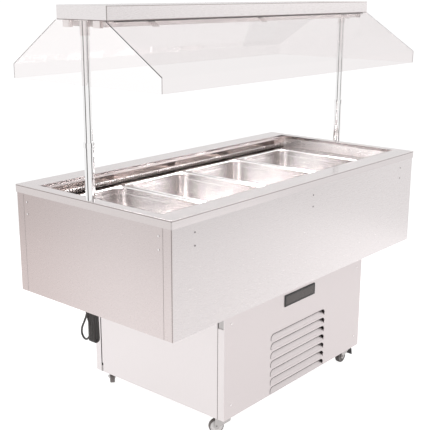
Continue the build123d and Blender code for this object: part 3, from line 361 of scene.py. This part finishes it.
def brushedSteel(name, grain, long, end, top, roughness, streak=0.3, seamsAndShadeLines=(), shadeFades=()):
    # 304 stainless sheet, belt-brushed one way: soft silver, with streaks along the grain. Painted light
    # and shade: the long sides, the ends and the faces that look up each get their own tone by the way
    # they face.
    # Real grit lines are 0.05 mm apart; these are 0.6 mm, as fine as the render shows.
    material, tree = newMaterial(name)
    place = addNode(tree, "ShaderNodeTexCoord")
    along, across = grit["along"], grit["across"]
    stretch = {
        "level": (along, along, across),
        "upright": (across, across, along),
        "deep": (across, along, across),
    }[grain]
    drawn = addNode(tree, "ShaderNodeMapping", {"Vector": place.outputs["Object"], "Scale": stretch})
    streaks = addNode(
        tree, "ShaderNodeTexNoise",
        {"Vector": drawn.outputs[0], "Scale": grit["scale"], "Detail": 3.0, "Roughness": 0.6},
    )
    facing = addNode(tree, "ShaderNodeSeparateXYZ", {0: place.outputs["Normal"]})
    endwise = maths(tree, "ABSOLUTE", facing.outputs["X"])
    upward = addNode(
        tree, "ShaderNodeMapRange",
        {"Value": facing.outputs["Z"], "From Min": 0.25, "From Max": 0.75},
    )
    # painted light and shade: the tones long, end and top follow the way each face looks
    sides = mixed(tree, endwise, hexColour(long), hexColour(end))
    colour = mixed(tree, upward.outputs[0], sides, hexColour(top))
    colour = drawShadeFades(tree, place, facing, colour, shadeFades)
    colour = drawSeamsAndShadeLines(tree, place, facing, colour, seamsAndShadeLines)
    shade = overNoise(tree, streaks, grit["darkest"], grit["lightest"])
    tint = addNode(tree, "ShaderNodeVectorMath", {0: colour, "Scale": shade}, operation="SCALE")
    gloss = overNoise(tree, streaks, roughness - grit["glossier"], roughness + grit["duller"])
    metal = addNode(
        tree, "ShaderNodeBsdfPrincipled",
        {"Base Color": tint.outputs[0], "Metallic": 1.0, "Roughness": gloss},
    )
    if streak:
        lines = addNode(
            tree, "ShaderNodeBump",
            {"Height": streaks.outputs["Fac"], "Strength": streak, "Distance": grit["depth"]},
        )
        tree.links.new(lines.outputs[0], metal.inputs["Normal"])
    addNode(tree, "ShaderNodeOutputMaterial", {"Surface": metal.outputs[0]})
    return material


# Marks of the mould: slow changes of gloss, about 70 mm long, and pits, whose depth is in metres
mould = {"wearScale": 14.0, "glossier": 0.06, "duller": 0.08, "depth": 0.0001}


def moulded(name, colour, roughness, grain=0.0008, bump=0.15):
    # moulded plastic or rubber: one body colour, a fine grain left by the mould
    material, tree = newMaterial(name)
    place = addNode(tree, "ShaderNodeTexCoord").outputs["Object"]
    speckle = addNode(
        tree, "ShaderNodeTexNoise",
        {"Vector": place, "Scale": 1 / grain, "Detail": 2.0, "Roughness": 0.5},
    )
    wear = addNode(
        tree, "ShaderNodeTexNoise",
        {"Vector": place, "Scale": mould["wearScale"], "Detail": 3.0, "Roughness": 0.6},
    )
    gloss = overNoise(tree, wear, roughness - mould["glossier"], roughness + mould["duller"])
    pits = addNode(
        tree, "ShaderNodeBump",
        {"Height": speckle.outputs["Fac"], "Strength": bump, "Distance": mould["depth"]},
    )
    mass = addNode(
        tree, "ShaderNodeBsdfPrincipled",
        {"Base Color": hexColour(colour), "Roughness": gloss, "Normal": pits.outputs[0]},
    )
    addNode(tree, "ShaderNodeOutputMaterial", {"Surface": mass.outputs[0]})
    return material


# Sheet of the hood: how much it mirrors face on, the colour and blur of the mirrored room, and the
# power of the slant by which the mirroring grows
acrylicShine = {"faceOn": 0.04, "colour": (0.93, 0.925, 0.925, 1), "roughness": 0.02, "power": 5.0}


def castAcrylic(name, tint):
    # cast acrylic sheet: nearly invisible face on, with a clean reflection that grows at a slant
    material, tree = newMaterial(name)
    clear = addNode(tree, "ShaderNodeBsdfTransparent", {"Color": hexColour(tint)})
    shine = addNode(
        tree, "ShaderNodeBsdfGlossy",
        {"Color": acrylicShine["colour"], "Roughness": acrylicShine["roughness"]},
    )
    slant = addNode(tree, "ShaderNodeLayerWeight", {"Blend": 0.5})
    steep = maths(tree, "POWER", slant.outputs["Facing"], acrylicShine["power"])
    share = addNode(
        tree, "ShaderNodeMapRange", {"Value": steep, "To Min": acrylicShine["faceOn"], "To Max": 1.0},
    )
    sheet = addNode(
        tree, "ShaderNodeMixShader",
        {0: share.outputs[0], 1: clear.outputs[0], 2: shine.outputs[0]},
    )
    addNode(tree, "ShaderNodeOutputMaterial", {"Surface": sheet.outputs[0]})
    return material


def seamAndShadeLine(axis, at, face, half=0.0012, tone="9a908e", **more):
    # a line of twice half's width at one place along an axis, on the faces that look along another
    return {"axis": axis, "at": at, "face": face, "half": half, "tone": tone, **more}


def shadeFade(axis, between, face, tone, **more):
    # painted shade: a tone that comes in between two places along an axis
    return {"axis": axis, "between": between, "face": face, "tone": tone, **more}


# Metres along X: the bars between the pans, and the middles of the pans
bars = {"centre": -0.3725, "pitch": 0.336}
panCentres = {"centre": -0.5405, "pitch": 0.336}
casingSeams = [
    seamAndShadeLine("Y", -0.3360, "X", tone="b0a6a4"), seamAndShadeLine("Y", 0.3360, "X", tone="b0a6a4"),
    seamAndShadeLine("Y", -0.3708, "X"), seamAndShadeLine("X", -0.7460, "Y", tone="a89e9c"),
    seamAndShadeLine("X", 0.7460, "Y", tone="a89e9c"),
]
# painted shade on the rim: a dark line just under its top fold, and dark lines in the groove round the
# inner edge of its top
rimShadeLines = [
    seamAndShadeLine("Z", 0.8648, "Y", 0.0011), seamAndShadeLine("Z", 0.8648, "X", 0.0011),
    seamAndShadeLine("Y", -0.2985, "Z", within=("X", 0.7125)), seamAndShadeLine("Y", 0.2885, "Z", within=("X", 0.7125)),
    seamAndShadeLine("X", -0.7112, "Z", within=("Y", 0.2985)), seamAndShadeLine("X", 0.7112, "Z", within=("Y", 0.2985)),
]
canopySeams = [
    seamAndShadeLine("Y", -0.1153, "X", 0.0014), seamAndShadeLine("Z", 1.4372, "Y", 0.0013), seamAndShadeLine("Z", 1.4372, "X", 0.0013),
    seamAndShadeLine("Z", 1.4800, "Y", 0.0011, "a89e9c"),
]
steel = {
    # belt-brushed sheet; one soft tone for each face is painted light for the room it blurs, and the ends
    # darken towards the rear and the long sides towards -X in painted shade
    "casing": brushedSteel(
        "brushedSteelCasing", "level", "e7e1e1", "d4cac9", "dad2d2", 0.28, 0.05, casingSeams,
        [shadeFade("Y", (-0.2, 0.42), "X", "c6b9b7"), shadeFade("X", (0.75, -0.75), "Y", "d2cccc")]),
    "canopy": brushedSteel(
        "brushedSteelCanopy", "level", "ece6e6", "f2eded", "e0dada", 0.28, 0.05, canopySeams),
    # the same sheet brushed upright, duller, with no picture of the floor in it
    "base": brushedSteel(
        "brushedSteelBase", "upright", "d7cfcf", "e5dfdf", "e1d9d9", 0.40, 0.05,
        [seamAndShadeLine("Y", -0.2990, "X", 0.0012, "6f6564")]),
    # rolled sheet with a finer brush, which still shows the pans and posts as soft shapes
    "rim": brushedSteel(
        "brushedSteelRim", "level", "e2dbdb", "dfd7d6", "dad3d3", 0.15, 0, rimShadeLines),
    # painted shade on the shelf: its upward faces darker than its sides, and dark lines beside the bars
    # for the shadow gaps next to the pans
    "shelf": brushedSteel(
        "brushedSteelShelf", "level", "ded7d7", "dcd4d3", "aaa09e", 0.25, 0,
        [seamAndShadeLine("X", 0.0046, "Z", 0.0010, "4f4645", **bars)]),
    # pressed and tumbled pans: bright, with broad highlights in the corners; painted reflection and shade
    # darken the rear walls towards their right-hand corners, the side walls towards the front and bottom,
    # and lines at the flanges and shoulders
    "pan": brushedSteel(
        "polishedPan", "deep", "f4f2f2", "fdfcfc", "f2f0f0", 0.24, 0,
        [seamAndShadeLine("X", 0.0066, "Z", 0.0012, "4f4645", **bars), seamAndShadeLine("Y", 0.2338, "Z", 0.0012, "4f4645"),
         seamAndShadeLine("X", 0.0165, "Z", 0.0012, "8d8280", **bars), seamAndShadeLine("Y", 0.2225, "Z", 0.0012, "8d8280")],
        [shadeFade("X", (-0.02, 0.135), "Y", "857d7b", **panCentres),
         shadeFade("Y", (0.16, -0.18), "X", "cbc5c4"), shadeFade("Z", (0.775, 0.675), "X", "d2cbca")]),
    # rolled edges, rubbed nearly to a mirror: thin bright lines
    "lip": brushedSteel("rolledSteelLip", "level", "fefdfd", "fefdfd", "fefdfd", 0.15, 0),
    # lining of the well: clean, even and a little milky
    "polished": brushedSteel("polishedSteel", "deep", "f6f4f4", "f6f4f4", "f1efee", 0.28, 0),
    # drawn and polished tube: white with hard dark stripes down its length
    "tube": brushedSteel("polishedTube", "upright", "fefdfd", "fefdfd", "fefdfd", 0.08, 0),
    # mirror sheet over the ducts, with painted reflection: brown for the dark well, darker in patches that
    # repeat with the pans, and a painted highlight, pale, round its slots
    "duct": brushedSteel(
        "mirrorSteel", "deep", "b3a8a4", "ded6d3", "e8e2e0", 0.14, 0,
        [seamAndShadeLine("Z", 0.8265, "Y", 0.0085, "f6f2f1")],
        [shadeFade("X", (-0.10, 0.10), "Y", "6f6460", **panCentres)]),
    # satin castings that take the stripes of the posts with soft edges
    "fitting": brushedSteel("satinFittings", "upright", "f6f1f0", "f6f1f0", "f6f1f0", 0.2, 0),
    # zinc plate: flat grey, hardly any gloss
    "plated": brushedSteel("zincPlate", "level", "b9b5b4", "b9b5b4", "c6c3c2", 0.36, 0),
    # mill-finish fin stock and drawn copper, seen only with the panels off
    "fins": brushedSteel("aluminiumFins", "upright", "d4d5d7", "d4d5d7", "d4d5d7", 0.38),
    "copper": brushedSteel("copperTube", "level", "c08265", "c08265", "c08265", 0.25, 0),
    # screw heads, one steel in painted shade and highlight: dark dots on the long sides, white ones on the
    # ends and the base
    "screw": brushedSteel(
        "screwHead", "level", "2f2827", "fbf8f8", "fbf8f8", 0.2, 0,
        [seamAndShadeLine("Z", 0.235, "Y", 0.235, "fbf8f8")]),
}
plastic = {
    "black": moulded("blackAbs", "201e1e", 0.45),     # soft black with a spark-eroded grain
    "window": moulded("smokedWindow", "463e3c", 0.25, bump=0.02),     # brown-black and shiny
    "lampBody": moulded("whiteEnamel", "efe9e8", 0.35, bump=0.05),     # warm white paint on sheet
    "enamel": moulded("blackEnamel", "161617", 0.35, grain=0.002),     # orange-peel black paint
    "opal": moulded("opalAcrylic", "f1efec", 0.4),     # milky diffuser
    "lead": moulded("pvcSheath", "3a3533", 0.5),     # rubbery near-black
    "wheel": moulded("greyPolyurethane", "6c6766", 0.5),     # mid grey, waxy
    "strap": moulded("wovenStrap", "2b2827", 0.7),     # dry black webbing
    "foam": moulded("rigidFoam", "d9c893", 0.9, grain=0.003, bump=0.5),     # straw yellow, crumbly
    "tread": moulded("greyRubberTread", "6f6866", 0.6),     # dull grey ring
    "hub": moulded("polyamideHub", "dcd8d7", 0.4),     # pale moulded centre
    "edge": moulded("sawnAcrylicEdge", "8d8483", 0.35, bump=0.05),     # grey line where light leaves
    "hipEdge": moulded("cementedAcrylicEdge", "4a4140", 0.35, bump=0.05),     # dark glued mitre
    "hollow": moulded("ductShadeSheet", "5a504d", 0.7),     # painted shade: the brown dusk behind the slots
    "shadow": moulded("paintedGapShadow", "231c1b", 0.6, bump=0.05),     # painted shadow: the dark of a thin gap
}
# painted shade: the front sheet has the darkest tint, the rear the next, and the ends the lightest, for
# how the light falls through each
acrylic = {
    "front": castAcrylic("castAcrylicFront", "f7f5f5"),
    "rear": castAcrylic("castAcrylicRear", "fcfbfb"),
    "left": castAcrylic("castAcrylicLeft", "fefdfd"),
    "right": castAcrylic("castAcrylicRight", "fefdfd"),
}

finishes = {
    "casing": ["front_panel", "rear_panel", "end_panel_left", "end_panel_right"],
    "canopy": ["canopy_shell"],
    "base": ["base_side_left", "base_side_right", "front_cassette", "rear_cassette"],
    "rim": ["top_rim"],
    "shelf": ["filler_deck", "pan_frame"],
    "pan": ["pan_1", "pan_2", "pan_3", "pan_4"],
    "polished": ["well_liner", "well_drain"],
    "tube": ["post_lower", "post_upper", "post_collars"],
    "duct": ["air_ducts"],
    "fitting": ["canopy_fittings"],
    "lampBody": ["lamp_housing"],
    "plated": ["tank_floor", "base_frame", "caster_plates", "cord_hook", "condenser_shroud"],
    "screw": ["panel_screws"],
    "fins": ["evaporator_coil", "condenser_coil"],
    "copper": ["refrigerant_pipes"],
    "black": ["controller_bezel", "evaporator_fan", "condenser_fan", "cord_gland"],
    "window": ["controller_window"],
    "enamel": ["compressor"],
    "opal": ["lamp_diffuser"],
    "lead": ["plug"],
    "strap": ["cord_tie"],
    "foam": ["well_insulation"],
}


def paint(name, material):
    for materialSlot in nodes[name].material_slots:
        materialSlot.material = material


def paintNodes():
    for finish, names in finishes.items():
        for name in names:
            paint(name, steel.get(finish) or plastic[finish])
    for name in nodes:
        if name.startswith("caster_fork"):
            paint(name, steel["plated"])
        elif name.startswith("caster_wheel"):
            paint(name, plastic["wheel"])
        elif name.startswith("brake_lever"):
            paint(name, plastic["black"])
        elif name.startswith("hood_"):
            paint(name, acrylic[name.removeprefix("hood_")])


def newPiece(name, mesh, material, body):
    mesh.materials.clear()
    mesh.materials.append(material)
    piece = bpy.data.objects.new(name, mesh)
    scene.collection.objects.link(piece)
    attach(piece, body)
    return piece


# Caster wheels: a light moulded centre in a dark tread, turned about the axle
wheel = {
    "radius": 0.027, "tread": 0.0035, "half": 0.009, "web": 0.0062, "boss": 0.009, "bore": 0.0041,
    "round": 0.001, "shoulder": 0.0015, "crown": 0.0004,
}
casterYaw = {"front_left": -35, "front_right": 0, "rear_left": -130, "rear_right": 30}


def turned(profile, steps=48):
    # a closed profile of (radius, width) pairs, spun once round the Z axis
    shape = bmesh.new()
    corners = [shape.verts.new((radius, 0, width)) for radius, width in profile]
    edges = [shape.edges.new((a, b)) for a, b in zip(corners, corners[1:] + corners[:1])]
    bmesh.ops.spin(
        shape, geom=corners + edges, cent=(0, 0, 0), axis=(0, 0, 1), angle=2 * pi, steps=steps,
        use_merge=True,
    )
    bmesh.ops.recalc_face_normals(shape, faces=shape.faces)
    for face in shape.faces:
        face.smooth = True
    return shape


def mirrored(half):
    # one side of a profile and its mirror image, as a closed outline
    return half + [(radius, -width) for radius, width in reversed(half)]


def makeWheel(corner, yaw):
    node = f"caster_wheel_{corner}"
    low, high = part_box(node)
    place = Matrix.Translation((low + high) / 2) @ Matrix.Rotation(radians(yaw), 4, "Z")
    place = place @ Matrix.Rotation(radians(-90), 4, "X")
    radius, half, web, bore, boss = [wheel[name] for name in ("radius", "half", "web", "bore", "boss")]
    inner = radius - wheel["tread"]
    shoulder, crown = radius - wheel["shoulder"], radius - wheel["crown"]
    soft = wheel["round"]
    tread = mirrored([
        (inner, half - soft), (shoulder, half), (crown, half - 2 * soft), (radius, half - 4 * soft),
    ])
    centre = mirrored([
        (inner, half - soft), (inner - 2 * soft, web), (boss + soft, web), (boss, half - soft),
        (boss - soft, half), (bore, half),
    ])
    dark = corner.endswith("right")     # the braked pair has dark centres
    for part, profile, material in (
        ("tread", tread, plastic["lead" if dark else "tread"]),
        ("centre", centre, plastic["wheel" if dark else "hub"]),
    ):
        shape = turned(profile)
        bmesh.ops.transform(shape, matrix=place, verts=shape.verts)
        mesh = meshOf(f"wheel_{part}_{corner}", shape)
        piece = newPiece(mesh.name, mesh, material, f"wheel_{corner}")
        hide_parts(node)


# Thin edges: the sawn edges of the hood, and dark rods of painted shadow along the louvres' tops
def makeRod(name, points, radius, material, body, closed=False):
    data = bpy.data.curves.new(name, "CURVE")
    data.dimensions = "3D"
    data.bevel_depth = radius
    data.bevel_resolution = 1
    data.use_fill_caps = not closed
    spline = data.splines.new("POLY")
    spline.points.add(len(points) - 1)
    spline.use_cyclic_u = closed
    for point, place in zip(spline.points, points):
        point.co = (*place, 1)
    rod = bpy.data.objects.new(name, data)
    scene.collection.objects.link(rod)
    bpy.context.view_layer.update()
    mesh = bpy.data.meshes.new_from_object(rod.evaluated_get(bpy.context.evaluated_depsgraph_get()))
    bpy.data.objects.remove(rod)
    newPiece(name, mesh, material, body)


hood = {
    "x": 0.7506, "topY": 0.1165, "top": 1.4345, "y": 0.3436, "bend": 1.285, "skirt": 1.2385,
    "corner": 0.0008, "shadeLineX": 0.715, "shadeLineY": 0.1145, "shadeLineZ": 1.4338, "shadeLineRadius": 0.0022,
}
# Corners whose edges show, with their sides of X and Y, the radius of the hip and its material. The
# rear right one is lost in the sheets before it.
hoodCorners = {
    "front_left": (-1, -1, 0.0013, "hipEdge"),
    "front_right": (1, -1, 0.0006, "edge"),
    "rear_left": (-1, 1, 0.0009, "edge"),
}
louvre = {
    "count": 7, "top": 0.310, "pitch": 0.0353, "halfLength": 0.1765, "height": 0.0255,
    "corner": 0.016, "face": 0.3283, "footGap": 0.002, "radius": 0.0007,
}


def makeHoodEdges():
    for label, (sideX, sideY, radius, edge) in hoodCorners.items():
        x, y = sideX * hood["x"], sideY * hood["y"]
        hip = [(x, sideY * hood["topY"], hood["top"]), (x, y, hood["bend"])]
        corner = [(x, y, hood["bend"]), (x, y, hood["skirt"])]
        makeRod(f"hood_hip_{label}", hip, radius, plastic[edge], "canopy")
        makeRod(f"hood_corner_{label}", corner, hood["corner"], plastic["edge"], "canopy")


def makeLouvreShadowLines():
    # painted shadow: a dark rod up the left side and along the top of each louvre slot, on the front and
    # the rear
    corner, half = louvre["corner"], louvre["halfLength"]
    for number in range(louvre["count"]):
        top = louvre["top"] - number * louvre["pitch"]
        for side, face in (("front", -louvre["face"]), ("rear", louvre["face"])):
            left = [
                (-half + corner * (1 - cos(radians(a))), face, top - corner * (1 - sin(radians(a))))
                for a in range(0, 91, 15)
            ]
            right = [(-x, y, z) for x, y, z in reversed(left)]
            start = [(-half, face, top - louvre["height"] + louvre["footGap"])]
            makeRod(f"louvre_shadow_line_{side}_{number + 1}", start + left + right, louvre["radius"],
                    plastic["shadow"], "island")


# Rolled lips of the food pans, which catch the light as two bright lines round each mouth
panLip = {
    "radius": 0.0016, "outerInset": 0.001, "outerCorner": 0.011, "innerInset": 0.011,
    "innerCorner": 0.044,
}


def roundedLoop(centre, halfX, halfY, corner, steps=6):
    points = []
    for quarter, (signX, signY) in enumerate(((1, 1), (-1, 1), (-1, -1), (1, -1))):
        for step in range(steps + 1):
            angle = radians(90 * (quarter + step / steps))
            points.append((
                centre.x + signX * (halfX - corner) + corner * cos(angle),
                centre.y + signY * (halfY - corner) + corner * sin(angle),
                centre.z,
            ))
    return points


def makePanLips():
    for number in (1, 2, 3, 4):
        low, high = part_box(f"pan_{number}")
        centre = Vector(((low.x + high.x) / 2, (low.y + high.y) / 2, high.z))
        halfX, halfY = (high.x - low.x) / 2, (high.y - low.y) / 2
        for side in ("outer", "inner"):
            inset, corner = panLip[f"{side}Inset"], panLip[f"{side}Corner"]
            loop = roundedLoop(centre, halfX - inset, halfY - inset, corner)
            makeRod(f"pan_{number}_lip_{side}", loop, panLip["radius"], steel["lip"],
                    f"pan_{number}", closed=True)


# Painted shade: a dark sheet just behind the ducts' slotted faces, for the dark inside them
ductShadeSheet = {"endGaps": 0.006, "thickness": 0.0006, "height": 0.026, "y": 0.2772, "z": 0.8265}


def makeDuctShadeSheet():
    low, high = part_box("air_ducts")
    shape = bmesh.new()
    bmesh.ops.create_cube(shape, size=1)
    size = (high.x - low.x - ductShadeSheet["endGaps"], ductShadeSheet["thickness"], ductShadeSheet["height"])
    bmesh.ops.scale(shape, vec=size, verts=shape.verts)
    bmesh.ops.translate(shape, vec=(0, ductShadeSheet["y"], ductShadeSheet["z"]), verts=shape.verts)
    mesh = meshOf("duct_shade_sheet", shape)
    newPiece(mesh.name, mesh, plastic["hollow"], "island")


def makeHoodShadeLine():
    # painted shadow: a dark rod in the joint between the canopy and the hood's sheets, for the shade in
    # that gap
    for side, end in (("front", -1), ("rear", 1)):
        line = [(x, end * hood["shadeLineY"], hood["shadeLineZ"]) for x in (-hood["shadeLineX"], hood["shadeLineX"])]
        makeRod(f"hood_shade_line_{side}", line, hood["shadeLineRadius"], plastic["shadow"], "canopy")


paintNodes()
print("CAD nodes painted")
for corner, yaw in casterYaw.items():
    makeWheel(corner, yaw)
print("wheels ready")
makeHoodEdges()
makeLouvreShadowLines()
makePanLips()
makeDuctShadeSheet()
makeHoodShadeLine()
cordPiece.data.materials.append(plastic["lead"])
print("finishes ready")
